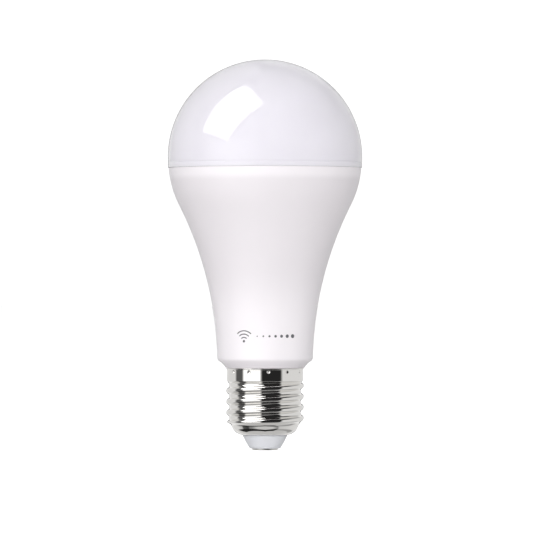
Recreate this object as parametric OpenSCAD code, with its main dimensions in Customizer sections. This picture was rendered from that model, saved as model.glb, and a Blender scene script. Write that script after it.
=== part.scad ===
// Smart light bulb: a pear-shaped A65 LED lamp on an E27 screw cap, with its inner parts.
// Millimetres. +Z runs up the lamp's axis from the centre contact to the top of the dome,
// and -Y is the front.

/* [Envelope] */
// Largest diameter, at the diffuser dome
bulb_d = 65; // [64.6:0.1:65.4]
// Height from the centre contact to the top of the dome
overall_h = 130.6; // [130.2:0.1:131]
// Height of the seam between the dome and the housing
seam_z = 94.4; // [94.2:0.1:94.6]

/* [Housing outline] */
// Diameter of the neck at its narrowest
neck_d = 32; // [31.6:0.1:32.4]
// Height at which the neck is narrowest
waist_z = 28.4; // [28:0.1:28.8]
// Radius of the long hollow curve from the neck to the shoulder
flare_r = 118.8; // [118:0.1:120]
// Slope of the wall where the hollow curve meets the round shoulder
flare_deg = 26.8; // [26.6:0.1:27]
// Radius of the round shoulder under the seam
shoulder_r = 33.2; // [33:0.1:33.4]
// Wall thickness of the housing
housing_wall = 1.6; // [1.5:0.05:1.65]

/* [Dome] */
// Wall thickness of the dome
dome_wall = 1.4; // [1:0.1:1.6]
// Height of the plain lip around the dome's lower edge
lip_h = 1.6; // [1.4:0.05:1.8]
// Depth and width of the fine groove above the lip
lip_groove = 0.15; // [0.1:0.05:0.2]

/* [Screw cap] */
// Diameter over the crests of the thread
thread_d = 26.05; // [26.05:0.05:26.2]
// Pitch of the single-start thread
thread_pitch = 3.629; // [3.6:0.001:3.65]
// Radius of the round crests and roots
thread_arc = 1.05; // [1.045:0.001:1.055]
// Diameter of the plain collar above the thread
collar_d = 25.5; // [25.4:0.05:25.6]
// Height of the shell's upper edge, where the housing's foot begins
cap_top_z = 27.6; // [27.5:0.05:27.7]
// Height of the shell's lower edge
cap_bottom_z = 5.1; // [5:0.05:5.2]
// Thickness of the shell's sheet metal
sheet = 0.35; // [0.3:0.05:0.4]
// Number of crimp dimples around the collar
dimple_count = 12; // [6:1:12]
// Angle of the first dimple about the axis, from +X
dimple_start_deg = 5; // [0:1:30]
// Turning of the thread about the axis
thread_turn_deg = 152; // [-180:1:180]

/* [Light source] */
// Diameter of the board that carries the light-emitting diodes
led_board_d = 54; // [53:0.5:55]
// Diodes in the outer ring, warm and cool by turns
outer_leds = 24; // [16:2:28]
// Diodes in the inner ring, warm and cool by turns
inner_leds = 12; // [8:2:12]

/* [Hidden] */
$fn = 96;
gap = 0.05;

// ---- outline of the housing: a round shoulder above a long hollow curve ----
flare_c = [neck_d / 2 + flare_r, waist_z];
shoulder_c = flare_c + (flare_r + shoulder_r) * [-cos(flare_deg), sin(flare_deg)];

function arc(c, r, a0, a1, n) =
    [for (i = [0 : n]) c + r * [cos(a0 + (a1 - a0) * i / n), sin(a0 + (a1 - a0) * i / n)]];

// the shoulder's arc alone, t inside the outer surface, from height z0 to height z1
function shoulder_line(t, z0, z1, n) =
    arc(shoulder_c, shoulder_r - t, asin((z0 - shoulder_c[1]) / (shoulder_r - t)),
        asin((z1 - shoulder_c[1]) / (shoulder_r - t)), n);

// the whole side, t inside the outer surface, from height z0 down to height z1
function side_line(t, z0, z1) = concat(
    arc(shoulder_c, shoulder_r - t, asin((z0 - shoulder_c[1]) / (shoulder_r - t)), -flare_deg, 10),
    arc(flare_c, flare_r + t, 180 - flare_deg + 1, 180 - asin((z1 - waist_z) / (flare_r + t)), 16));

function backwards(pts) = [for (i = [len(pts) - 1 : -1 : 0]) pts[i]];

// ---- heights of the inner parts ----
cup_top_z = seam_z - 3;
seal_h = 0.5;
skirt_r = bulb_d / 2 - 2.2;
skirt_wall = 1.2;
plate_t = 1.5;
plate_top_z = cup_top_z - 0.9;
pad_t = 0.2;
led_board_t = 1.6;
led_z = plate_top_z + pad_t + led_board_t;
spigot_r = 11.55;
spigot_bore = 10.3;
spigot_bottom_z = 10.2;
collar_fit_r = collar_d / 2 - sheet - gap;
foot_r = 13.65;
foot_round = 1.5;
edge_z = 31;
insulator_z = [0.6, 7.4];
contact_pin_r = 1.2;
pin_top_z = 7.8;

// ---- driver board, its slots and the places of its parts ----
board_y = 3;
board_t = 1.2;
board_back = board_y + board_t;
board_half = 11.4;
board_neck_half = 8.9;
board_bottom_z = 13;
board_wide_z = 33;
board_top_z = 84;
sleeve_bore = 12.6;
sleeve_wall = 0.8;
sleeve_z = [30.7, 86];
lead_r = 0.3;
lead_hole = 0.45;
lead_end = board_back + 0.9;
pin = 0.64;
pin_pitch = 2.54;

input_cap = [0, board_y - 5.1, 15.2];
input_leads = [[-1.5, 14.4], [1.5, 14.4]];
output_cap = [5, board_y - 4.1, 62.5];
output_cap_h = 12;
output_leads = [[4.2, 75.6], [6.2, 75.6]];
film_cap = [-5.5, board_y - 2.75, 40];
film_leads = [[-8.7, 36.5], [-2.3, 43.5]];
varistor_at = [5.8, 39.5];
varistor_leads = [[3.8, 36.2], [7.8, 36.2]];
fuse_at = [7.2, 0.9, 17];
fuse_leads = [[7.2, 16], [7.2, 27.2]];
choke_at = [-6, board_y - 4.1, 64.4];
choke_leads = [[-8, 63.4], [-4, 63.4]];
transformer_at = [0, board_y - 6.2, 54];
transformer_leads = [[-4.5, 46.3], [0, 46.3], [4.5, 46.3], [-4.5, 61.4], [4.5, 61.4]];
wifi_w = 14;
wifi_t = 0.8;
wifi_z = [76, 104];
wifi_pins = [for (i = [-2 : 2]) [i * pin_pitch, wifi_z[0] + 1.4]];
led_pins = [for (i = [-1.5 : 1.5]) i * pin_pitch];
led_pin_z = [board_top_z - 2, led_z + 2.4];
socket_half = [5.6, 1.6];

// every lead that passes through the driver board, as [x, z]
LEADS = concat(input_leads, output_leads, film_leads, varistor_leads, fuse_leads, choke_leads,
               transformer_leads);

screw_ring_r = 17;
screw_angles = [0, 120, 240];
screw_r = 1.2;
screw_hole = 1.35;

// ---- screw cap: rounded thread as a radius at a height and an angle ----
crest_c = thread_d / 2 - thread_arc;
root_c = crest_c + sqrt(4 * thread_arc * thread_arc - thread_pitch * thread_pitch / 4);
thread_fade = [8.4, 9.6, 22, 23.3];
thread_ref_z = 9.2;
// below the thread the shell is a short cone that turns in to a rounded lip
cone_top = [11.45, 8.6];
cone_slope = 0.466;
turn_z = 7.3;
turn_in = 2.2;
ROUND_STEPS = 36;
STEPS_PER_PITCH = 8;
LIP_ROWS = 5;

function fract(x) = x - floor(x);
function smooth(x) = let (t = min(max(x, 0), 1)) t * t * (3 - 2 * t);
// distance along the axis from the nearest crest
function crest_gap(z, a) =
    let (f = fract((z - thread_ref_z) / thread_pitch - (a + thread_turn_deg) / 360))
    min(f, 1 - f) * thread_pitch;
function thread_r(d) = d < thread_pitch / 4
    ? crest_c + sqrt(thread_arc * thread_arc - d * d)
    : root_c - sqrt(thread_arc * thread_arc - pow(thread_pitch / 2 - d, 2));
// the smooth shell that the thread grows out of
function cone_r(z) =
    let (t = min(max((turn_z - z) / (turn_z - cap_bottom_z), 0), 1))
    cone_top[0] - cone_slope * (cone_top[1] - z) - turn_in * (1 - sqrt(1 - t * t));
function plain_r(z) = z < cone_top[1] ? cone_r(z)
    : cone_top[0] + (collar_d / 2 - cone_top[0]) * smooth((z - thread_fade[2]) /
                                                         (thread_fade[3] - thread_fade[2]));
function thread_weight(z) = smooth((z - thread_fade[0]) / (thread_fade[1] - thread_fade[0])) *
                            smooth((thread_fade[3] - z) / (thread_fade[3] - thread_fade[2]));
function shell_r(z, a) = plain_r(z) + thread_weight(z) * (thread_r(crest_gap(z, a)) - plain_r(z));

// rows of the shell from the lower lip to the collar: steeper spacing where the lip turns in
lip_zs = [for (i = [0 : LIP_ROWS - 1])
          thread_ref_z - (thread_ref_z - cap_bottom_z) * cos(i * 78 / LIP_ROWS)];
wall_step = thread_pitch / STEPS_PER_PITCH;
wall_zs = [for (z = [thread_fade[0] : wall_step : thread_fade[3] + wall_step]) z];
collar_zs = [(wall_zs[len(wall_zs) - 1] + cap_top_z) / 2, cap_top_z - 0.75];
bead_zs = [cap_top_z - 0.6, cap_top_z - 0.3, cap_top_z];
bead_out = [0.12, 0.25, 0.12];

function ring(z, shift, out) = [for (k = [0 : ROUND_STEPS - 1])
    let (a = k * 360 / ROUND_STEPS, r = shell_r(z, a) - shift + out)
    [r * cos(a), r * sin(a), z]];

// closed tube of stacked rings, joined up its outside, over its rim and down its inside
module ring_stack(rings) {
    n = len(rings[0]);
    m = len(rings);
    points = [for (r = rings) each r];
    faces = [for (j = [0 : m - 1], k = [0 : n - 1])
             let (k2 = (k + 1) % n, j2 = (j + 1) % m)
             each [[j * n + k, j2 * n + k, j2 * n + k2], [j * n + k, j2 * n + k2, j * n + k2]]];
    polyhedron(points = points, faces = faces);
}

// ---- shared small shapes ----
module box_from(lo, hi) {
    translate(lo) cube(hi - lo);
}

module along_y(x, z, y0, y1, r) {
    translate([x, y0, z]) rotate([-90, 0, 0]) cylinder(r = r, h = y1 - y0, $fn = 24);
}

// a lead that leaves a part at height z0, runs to height z1 and turns into the board
module bent_lead(x, y, z0, z1) {
    translate([x, y, min(z0, z1)]) cylinder(r = lead_r, h = abs(z1 - z0), $fn = 24);
    along_y(x, z1, y - 1.5 * lead_r, lead_end, lead_r);
}

// a wire swept along a list of points, round in section, with flat ends
function unit(v) = v / norm(v);
function tangent(p, i) = unit(p[min(i + 1, len(p) - 1)] - p[max(i - 1, 0)]);
module wire(path, r, sides) {
    side = [0, 1, 0];
    points = [for (i = [0 : len(path) - 1])
              let (t = tangent(path, i), u = unit(cross(side, t)), v = cross(t, u))
              each [for (k = [0 : sides - 1])
                    path[i] + r * (cos(k * 360 / sides) * u + sin(k * 360 / sides) * v)]];
    last = (len(path) - 1) * sides;
    faces = concat(
        [[for (k = [sides - 1 : -1 : 0]) k]],
        [for (i = [0 : len(path) - 2], k = [0 : sides - 1])
         let (k2 = (k + 1) % sides, a = i * sides)
         each [[a + k, a + k2, a + sides + k2], [a + k, a + sides + k2, a + sides + k]]],
        [[for (k = [0 : sides - 1]) last + k]]);
    polyhedron(points = points, faces = faces);
}

// an electrolytic can standing along the axis: grooved sleeve, open vent top
module electrolytic(at, r, h) {
    groove = 0.35;
    translate(at) rotate_extrude()
        polygon(concat([[0, 0], [r - 0.4, 0]],
                       arc([r - 0.4, 0.4], 0.4, -90, 0, 4),
                       [[r, 1.2], [r - groove, 1.6], [r - groove, 2], [r, 2.4]],
                       arc([r - 0.5, h - 0.5], 0.5, 0, 90, 4),
                       [[r - 1.1, h], [r - 1.2, h - 0.2], [0, h - 0.2]]));
}

// the holes that screws, pins and the radio board need in the layers under the dome
module layer_holes(z0, z1, slot_y) {
    for (a = screw_angles) rotate([0, 0, a + 90])
        translate([screw_ring_r, 0, z0]) cylinder(r = screw_hole, h = z1 - z0, $fn = 32);
    box_from([-wifi_w / 2 - 0.4, -slot_y, z0], [wifi_w / 2 + 0.4, slot_y, z1]);
    box_from([-socket_half[0] + 0.6, board_y - 0.5, z0], [socket_half[0] - 0.6, board_back + 0.5, z1]);
}

// ---- the lamp's pieces ----
module diffuser_dome() {
    r = bulb_d / 2;
    c = [0, overall_h - r];
    lip_top = seam_z + lip_h;
    inner = r - dome_wall;
    base_z = seam_z + 0.9;
    color([0.94, 0.93, 0.96]) rotate_extrude(convexity = 4, $fn = 180)
        polygon(concat(
            arc(c, r, 90, asin((lip_top + 2 * lip_groove - c[1]) / r), 40),
            [[r - lip_groove - 0.12, lip_top + lip_groove], [r - 0.08, lip_top],
             [r - 0.05, seam_z + 0.2], [r - 0.2, seam_z + gap],
             [skirt_r, seam_z + gap], [skirt_r, cup_top_z + seal_h],
             [skirt_r - skirt_wall, cup_top_z + seal_h], [skirt_r - skirt_wall, base_z]],
            backwards(arc(c, inner, 90, asin((base_z + 0.6 - c[1]) / inner), 40))));
}

module dome_seal() {
    color("gainsboro") rotate_extrude()
        polygon([[skirt_r - skirt_wall, cup_top_z], [skirt_r - 0.1, cup_top_z],
                 [skirt_r - 0.1, cup_top_z + seal_h], [skirt_r - skirt_wall, cup_top_z + seal_h]]);
}

// the foot turns in below the neck and carries a spigot that fills the screw shell
module outer_housing() {
    foot_arc = arc([neck_d / 2 - foot_round + 0.04, edge_z], foot_round, 0, -45, 8);
    notch = 1.3;
    rim_break = 0.16;
    pit_r = 0.9;
    pit_z = cap_top_z - 1.3;
    cone_h = 0.6;
    color([0.95, 0.94, 0.95]) difference() {
        rotate_extrude(convexity = 6, $fn = 180)
            polygon(concat(
                [[shoulder_c[0] + shoulder_r - rim_break, seam_z]],
                side_line(0, seam_z - 0.1, edge_z + 0.2),
                foot_arc,
                // the foot narrows in a cone, down to the shell's edge
                [[foot_r + 0.45, cap_top_z + cone_h + 0.55], [foot_r, cap_top_z + cone_h],
                 [foot_r - 0.47, cap_top_z], [collar_fit_r, cap_top_z],
                 [collar_fit_r, thread_fade[3] + 0.7], [spigot_r, thread_fade[3]],
                 [spigot_r, spigot_bottom_z], [spigot_bore, spigot_bottom_z],
                 [spigot_bore, cap_top_z - 0.3],
                 [neck_d / 2 - housing_wall - 0.05, edge_z]],
                backwards(side_line(housing_wall, seam_z, edge_z + 0.6))));
        // pits under the crimp dimples
        for (i = [0 : dimple_count - 1]) rotate([0, 0, dimple_start_deg + i * 360 / dimple_count])
            translate([collar_d / 2, 0, pit_z]) sphere(r = pit_r, $fn = 24);
        // groove for the bare end of the neutral wire, down the spigot's outside
        box_from([-spigot_r - 0.2, -notch / 2, spigot_bottom_z - 1],
                 [-spigot_r + 0.9, notch / 2, 20.5]);
    }
}

module heat_sink_cup() {
    t0 = housing_wall + gap;
    t1 = t0 + 1.1;
    color("lightgray") rotate_extrude(convexity = 4, $fn = 180)
        polygon(concat(side_line(t0, cup_top_z, 52), backwards(side_line(t1, cup_top_z, 52))));
}

module heat_spreader() {
    t0 = housing_wall + 1.1 + 2 * gap;
    rim_t = 1.2;
    rim_z = plate_top_z - 4.5;
    under = plate_top_z - plate_t;
    color("silver") difference() {
        rotate_extrude(convexity = 4, $fn = 180)
            polygon(concat([[0, plate_top_z]], shoulder_line(t0, plate_top_z, rim_z, 4),
                           shoulder_line(t0 + rim_t, rim_z, under, 3), [[0, under]]));
        layer_holes(under - 1, plate_top_z + 1, 2.6);
    }
}

module thermal_pad() {
    color("slategray") difference() {
        translate([0, 0, plate_top_z]) cylinder(d = led_board_d - 1, h = pad_t);
        layer_holes(plate_top_z - 1, plate_top_z + 1, 1.6);
    }
}

module led_board() {
    z0 = plate_top_z + pad_t;
    color("whitesmoke") difference() {
        translate([0, 0, z0]) cylinder(d = led_board_d, h = led_board_t, $fn = 180);
        layer_holes(z0 - 1, z0 + 3, 0.9);
        // two locating notches in the rim
        for (s = [-1, 1]) translate([s * led_board_d / 2, 0, z0 - 1])
            cylinder(r = 1.5, h = led_board_t + 2, $fn = 32);
    }
}

// one diode package: a white frame filled with a phosphor window
module led_package() {
    size = [3.5, 2.8, 0.7];
    difference() {
        translate([-size[0] / 2, -size[1] / 2, 0]) cube(size);
        translate([0, 0, size[2] - 0.12]) cylinder(r = 1.1, h = 1, $fn = 24);
    }
    for (s = [-1, 1]) translate([s * size[0] / 2 - 0.15, -0.9, 0]) cube([0.3, 1.8, 0.2]);
}

module led_ring(count, ring_r, first) {
    for (i = [first : 2 : count - 1]) rotate([0, 0, (i + 0.5) * 360 / count])
        translate([ring_r, 0, led_z]) rotate([0, 0, 90]) led_package();
}

outer_ring_r = led_board_d / 2 - 4.2;
inner_ring_r = 12.2;

module warm_white_leds() {
    color("khaki") {
        led_ring(outer_leds, outer_ring_r, 0);
        led_ring(inner_leds, inner_ring_r, 0);
    }
}

module cool_white_leds() {
    color("lightyellow") {
        led_ring(outer_leds, outer_ring_r, 1);
        led_ring(inner_leds, inner_ring_r, 1);
    }
}

module board_screws() {
    head_h = 1.5;
    color("silver") for (a = screw_angles) rotate([0, 0, a + 90]) translate([screw_ring_r, 0, 0])
        difference() {
            union() {
                translate([0, 0, led_z]) rotate_extrude($fn = 48)
                    polygon(concat([[0, 0], [2.2, 0], [2.2, head_h - 0.7]],
                                   arc([1.5, head_h - 0.7], 0.7, 0, 90, 5), [[0, head_h]]));
                translate([0, 0, plate_top_z - plate_t - 2.5])
                    cylinder(r = screw_r, h = led_z - plate_top_z + plate_t + 2.6, $fn = 32);
            }
            // cross recess
            for (q = [0, 90]) rotate([0, 0, q]) translate([-1.2, -0.25, led_z + head_h - 0.8])
                cube([2.4, 0.5, 1]);
        }
}

module led_socket() {
    h = 2.6;
    y0 = board_y + board_t / 2 - socket_half[1];
    color("white") difference() {
        box_from([-socket_half[0], y0, led_z],
                 [socket_half[0], y0 + 2 * socket_half[1], led_z + h]);
        for (x = led_pins) translate([x - 0.45, board_y + board_t / 2 - 0.45, led_z - 1])
            cube([0.9, 0.9, h + 2]);
    }
}

module led_header_pins() {
    y = board_y - 0.35 - pin;
    yc = board_y + board_t / 2;
    color("gold") for (x = led_pins) {
        // foot through the driver board, cranked up to the socket
        box_from([x - pin / 2, y, led_pin_z[0]], [x + pin / 2, lead_end, led_pin_z[0] + pin]);
        box_from([x - pin / 2, y, led_pin_z[0]], [x + pin / 2, y + pin, board_top_z + 1.6]);
        box_from([x - pin / 2, y, board_top_z + 1], [x + pin / 2, yc + pin / 2, board_top_z + 1.6]);
        box_from([x - pin / 2, yc - pin / 2, board_top_z + 1], [x + pin / 2, yc + pin / 2, led_pin_z[1]]);
    }
}

module wifi_board() {
    color("darkgreen") difference() {
        box_from([-wifi_w / 2, -wifi_t / 2, wifi_z[0]], [wifi_w / 2, wifi_t / 2, wifi_z[1]]);
        for (p = wifi_pins) along_y(p[0], p[1], -2, 2, lead_hole + 0.05);
    }
}

module wifi_shield_can() {
    wall = 0.2;
    lo = [-5.8, -wifi_t / 2 - 1.8, 79.2];
    hi = [5.8, -wifi_t / 2, 88.2];
    color("silver") difference() {
        box_from(lo, hi);
        box_from(lo + [wall, wall, wall], hi + [-wall, 1, -wall]);
    }
}

// printed meander near the top of the radio board
module wifi_antenna() {
    w = 0.6;
    t = 0.1;
    y = -wifi_t / 2 - t;
    top = wifi_z[1] - 1;
    fold = 5.2;
    step = 1.9;
    color("goldenrod") {
        for (i = [0 : 5]) box_from([-5.7 + i * step, y, top - fold],
                                   [-5.7 + i * step + w, y + t, top]);
        for (i = [0 : 2]) box_from([-5.7 + 2 * i * step, y, top - w],
                                   [-5.7 + (2 * i + 1) * step + w, y + t, top]);
        for (i = [0 : 1]) box_from([-5.7 + (2 * i + 1) * step, y, top - fold],
                                   [-5.7 + (2 * i + 2) * step + w, y + t, top - fold + w]);
    }
}

module wifi_header_pins() {
    color("gold") for (p = wifi_pins)
        along_y(p[0], p[1], -wifi_t / 2 - 0.8, lead_end, 0.35);
    color("black") box_from([-2.5 * pin_pitch, wifi_t / 2, wifi_pins[0][1] - 1.2],
                            [2.5 * pin_pitch, board_y, wifi_pins[0][1] + 1.2]);
}

// insulating tube round the driver, with two pairs of ribs that hold the board's edges
module driver_sleeve() {
    rib = 0.8;
    slack = 0.1;
    color("ivory") {
        difference() {
            translate([0, 0, sleeve_z[0]])
                cylinder(r = sleeve_bore + sleeve_wall, h = sleeve_z[1] - sleeve_z[0]);
            translate([0, 0, sleeve_z[0] - 1]) cylinder(r = sleeve_bore, h = 100);
        }
        for (s = [-1, 1], y = [board_y - slack - rib, board_back + slack]) intersection() {
            translate([0, 0, board_wide_z + 1]) cylinder(r = sleeve_bore + 0.2, h = 45);
            translate([s > 0 ? 10.6 : -13.6, y, 0]) cube([3, rib, 100]);
        }
    }
}

module driver_board() {
    color("seagreen") difference() {
        union() {
            box_from([-board_neck_half, board_y, board_bottom_z],
                     [board_neck_half, board_back, board_wide_z + 1]);
            box_from([-board_half, board_y, board_wide_z], [board_half, board_back, board_top_z]);
        }
        for (p = concat(LEADS, wifi_pins)) along_y(p[0], p[1], 0, 9, lead_hole);
        for (x = led_pins) translate([x - 0.45, 0, led_pin_z[0] - 0.13]) cube([0.9, 9, 0.9]);
    }
}

module input_capacitor() {
    color("midnightblue") electrolytic(input_cap, 5, 17);
    color("silver") for (p = input_leads)
        bent_lead(p[0], input_cap[1] + 2, input_cap[2] + 0.2, p[1]);
}

// stands on its vent, with its leads at the top
module output_capacitor() {
    color("midnightblue") translate(output_cap + [0, 0, output_cap_h]) rotate([180, 0, 0])
        electrolytic([0, 0, 0], 4, output_cap_h);
    color("silver") for (p = output_leads)
        bent_lead(p[0], output_cap[1] + 1.5, output_cap[2] + output_cap_h - 0.5, p[1]);
}

module film_capacitor() {
    size = [10, 5, 9];
    color("firebrick") translate(film_cap - size / 2) cube(size);
    color("silver") for (p = film_leads)
        along_y(p[0], p[1], film_cap[1] + 2, lead_end, lead_r);
}

module varistor() {
    color("royalblue") translate([varistor_at[0], board_y - 0.4, varistor_at[1]])
        rotate([90, 0, 0]) rotate_extrude()
            polygon(concat([[0, 0]], arc([3.1, 1], 1, -90, 0, 5), arc([3.1, 2.2], 1, 0, 90, 5),
                           [[0, 3.2]]));
    color("silver") for (p = varistor_leads)
        bent_lead(p[0], board_y - 1.8, varistor_at[1] - 1, p[1]);
}

module fusible_resistor() {
    color("olivedrab") translate(fuse_at) rotate_extrude($fn = 48)
        polygon([[0, 0], [1.1, 0], [1.5, 0.4], [1.5, 1.9], [1.25, 2.3], [1.25, 6.7],
                 [1.5, 7.1], [1.5, 8.6], [1.1, 9], [0, 9]]);
    color("silver") {
        bent_lead(fuse_at[0], fuse_at[1], fuse_at[2] + 0.3, fuse_leads[0][1]);
        bent_lead(fuse_at[0], fuse_at[1], fuse_at[2] + 8.7, fuse_leads[1][1]);
    }
}

module filter_choke() {
    color("dimgray") translate(choke_at) rotate_extrude()
        polygon([[0, 0], [3.7, 0], [4, 0.3], [4, 1.3], [3.6, 1.6], [3.6, 8.4], [4, 8.7],
                 [4, 9.7], [3.7, 10], [0, 10]]);
    color("silver") for (p = choke_leads)
        bent_lead(p[0], choke_at[1] + 1, choke_at[2] + 0.3, p[1]);
}

// ferrite core round the bobbin, as two E halves that meet in the middle
module transformer_core() {
    w = 13;
    leg = 2.6;
    depth = 5.6;
    h = 12.4;
    color([0.2, 0.2, 0.22]) translate(transformer_at) difference() {
        translate([-w / 2, -depth / 2, -h / 2]) cube([w, depth, h]);
        for (s = [-1, 1]) translate([s * (w / 4 + 0.05) - 1.7, -depth, -h / 2 + leg])
            cube([3.4, 2 * depth, h - 2 * leg]);
    }
}

module transformer_bobbin() {
    core_w = 3.3;
    core_d = 5.8;
    flange = [9.4, 11.2, 0.7];
    color("black") translate(transformer_at) difference() {
        union() {
            for (s = [-1, 1]) translate([0, 0, s * 3.2]) cube(flange, center = true);
            cube([core_w + 0.9, core_d + 0.9, 6], center = true);
        }
        cube([core_w, core_d, 12], center = true);
    }
    color("silver") for (p = transformer_leads)
        bent_lead(p[0], board_y - 1.1, p[1] < transformer_at[2] ? transformer_at[2] - 3.3
                                                                : transformer_at[2] + 3.3, p[1]);
}

// the coil, wrapped in tape, between the bobbin's flanges
module transformer_winding() {
    color("gold") translate(transformer_at) difference() {
        cube([8.6, 10.6, 5.6], center = true);
        cube([4.25, 6.75, 7], center = true);
    }
}

// a flat chip with a row of feet down each side, on the back of the driver board
module chip(x, z, size, feet) {
    y = board_back;
    foot_w = 0.4;
    foot_out = 0.7;
    foot_t = 0.45;
    step = size[2] / feet;
    color([0.15, 0.15, 0.16]) box_from([x - size[0] / 2, y + 0.1, z - size[2] / 2],
                                       [x + size[0] / 2, y + 0.1 + size[1], z + size[2] / 2]);
    color("silver") for (s = [-1, 1], i = [0 : feet - 1])
        translate([x + s * (size[0] + foot_out) / 2 - foot_out / 2, y,
                   z - size[2] / 2 + (i + 0.5) * step - foot_w / 2])
            cube([foot_out, foot_t, foot_w]);
}

module bridge_rectifier() {
    chip(-4.2, 21, [4, 2.4, 4.7], 2);
}

module driver_ic() {
    chip(3.5, 53, [3.9, 1.5, 4.9], 4);
}

module output_diode() {
    chip(-5, 68, [4.3, 2.1, 2.6], 1);
}

module regulator_ic() {
    chip(0.5, 71.5, [1.6, 1.1, 2.9], 3);
}

// two-ended chip parts laid out in rows on the back of the board
module chip_row(x, z0, count, step, size) {
    for (i = [0 : count - 1]) translate([x, board_back, z0 + i * step])
        translate([-size[0] / 2, 0, -size[2] / 2]) cube(size);
}

module chip_resistors() {
    size = [2, 0.5, 1.25];
    color([0.12, 0.12, 0.13]) {
        chip_row(-7.5, 38.5, 6, 2.6, size);
        chip_row(8, 48.5, 4, 2.4, size);
        chip_row(1.5, 17, 4, 2.6, size);
    }
}

module chip_capacitors() {
    size = [2, 0.9, 1.25];
    color("tan") {
        chip_row(-3.5, 49.5, 4, 2.4, size);
        chip_row(5.8, 64, 4, 2.6, size);
        chip_row(-3.5, 28, 2, 2.8, size);
    }
}

// one fillet of solder round each lead end
module solder_joints() {
    color("gainsboro") for (p = concat(LEADS, wifi_pins))
        translate([p[0], board_back, p[1]]) rotate([-90, 0, 0]) difference() {
            cylinder(r1 = 0.95, r2 = 0.5, h = 0.7, $fn = 24);
            translate([0, 0, -1]) cylinder(r = 0.37, h = 3, $fn = 24);
        }
}

// the live wire rises from the contact's pin to the driver board's lower edge
live_r = 0.5;
live_y = board_y + board_t / 2;
live_end = 0.3;
live_path = concat(
    [[0, 0, pin_top_z]],
    [for (i = [0 : 12]) let (t = i / 12)
     [0, live_y * smooth(t),
      pin_top_z + live_end + (board_bottom_z - pin_top_z - 2 * live_end) * t]],
    [[0, live_y, board_bottom_z]]);
// the neutral wire runs down the groove, under the spigot's edge and up inside its bore
neutral_r = 0.35;
neutral_out = spigot_r - neutral_r - 0.15;
neutral_in = spigot_bore - neutral_r - 0.25;
neutral_path = concat(
    [for (z = [20 : -2 : 12]) [-neutral_out, 0, z]],
    [for (i = [0 : 8]) let (a = i * 180 / 8)
     [-(neutral_out + neutral_in) / 2 - (neutral_out - neutral_in) / 2 * cos(a), 0,
      spigot_bottom_z - 0.1 - 0.75 * sin(a)]],
    [for (z = [12 : 2 : 16]) [-neutral_in, 0, z]]);

module live_wire() {
    color("saddlebrown") wire(live_path, live_r, 10);
}

module neutral_wire() {
    color("steelblue") wire(neutral_path, neutral_r, 8);
}

module screw_shell() {
    outer = concat([for (z = lip_zs) ring(z, 0, 0)], [for (z = wall_zs) ring(z, 0, 0)],
                   [for (z = collar_zs) ring(z, 0, 0)],
                   [for (i = [0 : 2]) ring(bead_zs[i], 0, bead_out[i])]);
    // the inside keeps the sheet's thickness below the lip's turn as well
    inner = concat([ring(cap_top_z, sheet, 0), ring(collar_zs[0], sheet, 0)],
                   [for (z = backwards(wall_zs)) ring(z, sheet, 0)],
                   [for (z = backwards(lip_zs))
                    [for (p = ring(z, sheet * 0.6, 0)) p + [0, 0, sheet * 0.8]]]);
    color([0.82, 0.82, 0.8]) ring_stack(backwards(concat(outer, inner)));
}

module insulator() {
    edge = 0.8;
    color([0.82, 0.84, 0.88]) rotate_extrude(convexity = 4)
        polygon(concat(
            [[contact_pin_r + gap, insulator_z[0]]],
            arc([5.5 - edge, insulator_z[0] + edge], edge, -90, -20, 5),
            [[6.5, 2.8], [7.5, cap_bottom_z - gap], [7.25, cap_bottom_z], [7.25, cap_bottom_z + 0.6],
             [9.1, insulator_z[1] - 0.5],
             [9.1, insulator_z[1]], [contact_pin_r + gap, insulator_z[1]]]));
}

// flat rivet head outside, with a pin up through the insulator
module centre_contact() {
    head_r = 4.4;
    color([0.83, 0.82, 0.8]) rotate_extrude()
        polygon(concat([[0, 0], [head_r - 0.4, 0]],
                       arc([head_r - 0.4, 0.4], 0.4, -90, 0, 4),
                       [[head_r, insulator_z[0]], [contact_pin_r, insulator_z[0]],
                        [contact_pin_r, pin_top_z - 0.2], [contact_pin_r - 0.3, pin_top_z],
                        [0, pin_top_z]]));
}

diffuser_dome();
dome_seal();
outer_housing();
heat_sink_cup();
heat_spreader();
thermal_pad();
led_board();
warm_white_leds();
cool_white_leds();
board_screws();
led_socket();
led_header_pins();
wifi_board();
wifi_shield_can();
wifi_antenna();
wifi_header_pins();
driver_sleeve();
driver_board();
input_capacitor();
output_capacitor();
film_capacitor();
varistor();
fusible_resistor();
filter_choke();
transformer_core();
transformer_bobbin();
transformer_winding();
bridge_rectifier();
driver_ic();
output_diode();
regulator_ic();
chip_resistors();
chip_capacitors();
solder_joints();
live_wire();
neutral_wire();
screw_shell();
insulator();
centre_contact();
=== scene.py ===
import math

import bmesh
import bpy
import numpy as np
from mathutils import Matrix, Vector


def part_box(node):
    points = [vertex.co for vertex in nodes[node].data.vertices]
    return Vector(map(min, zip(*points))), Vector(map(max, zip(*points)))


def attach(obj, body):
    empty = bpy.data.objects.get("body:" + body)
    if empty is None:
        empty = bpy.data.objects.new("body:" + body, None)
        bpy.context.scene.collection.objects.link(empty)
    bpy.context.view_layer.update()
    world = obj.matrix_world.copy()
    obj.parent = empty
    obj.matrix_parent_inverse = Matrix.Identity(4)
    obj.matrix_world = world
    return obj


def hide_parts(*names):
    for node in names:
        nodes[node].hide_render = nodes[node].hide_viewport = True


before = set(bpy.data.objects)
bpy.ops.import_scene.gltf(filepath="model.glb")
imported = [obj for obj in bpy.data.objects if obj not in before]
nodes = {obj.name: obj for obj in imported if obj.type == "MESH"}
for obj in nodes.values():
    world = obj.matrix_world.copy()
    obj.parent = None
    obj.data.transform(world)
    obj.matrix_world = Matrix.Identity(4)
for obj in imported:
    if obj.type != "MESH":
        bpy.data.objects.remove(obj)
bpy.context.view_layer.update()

MM = 0.001

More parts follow.
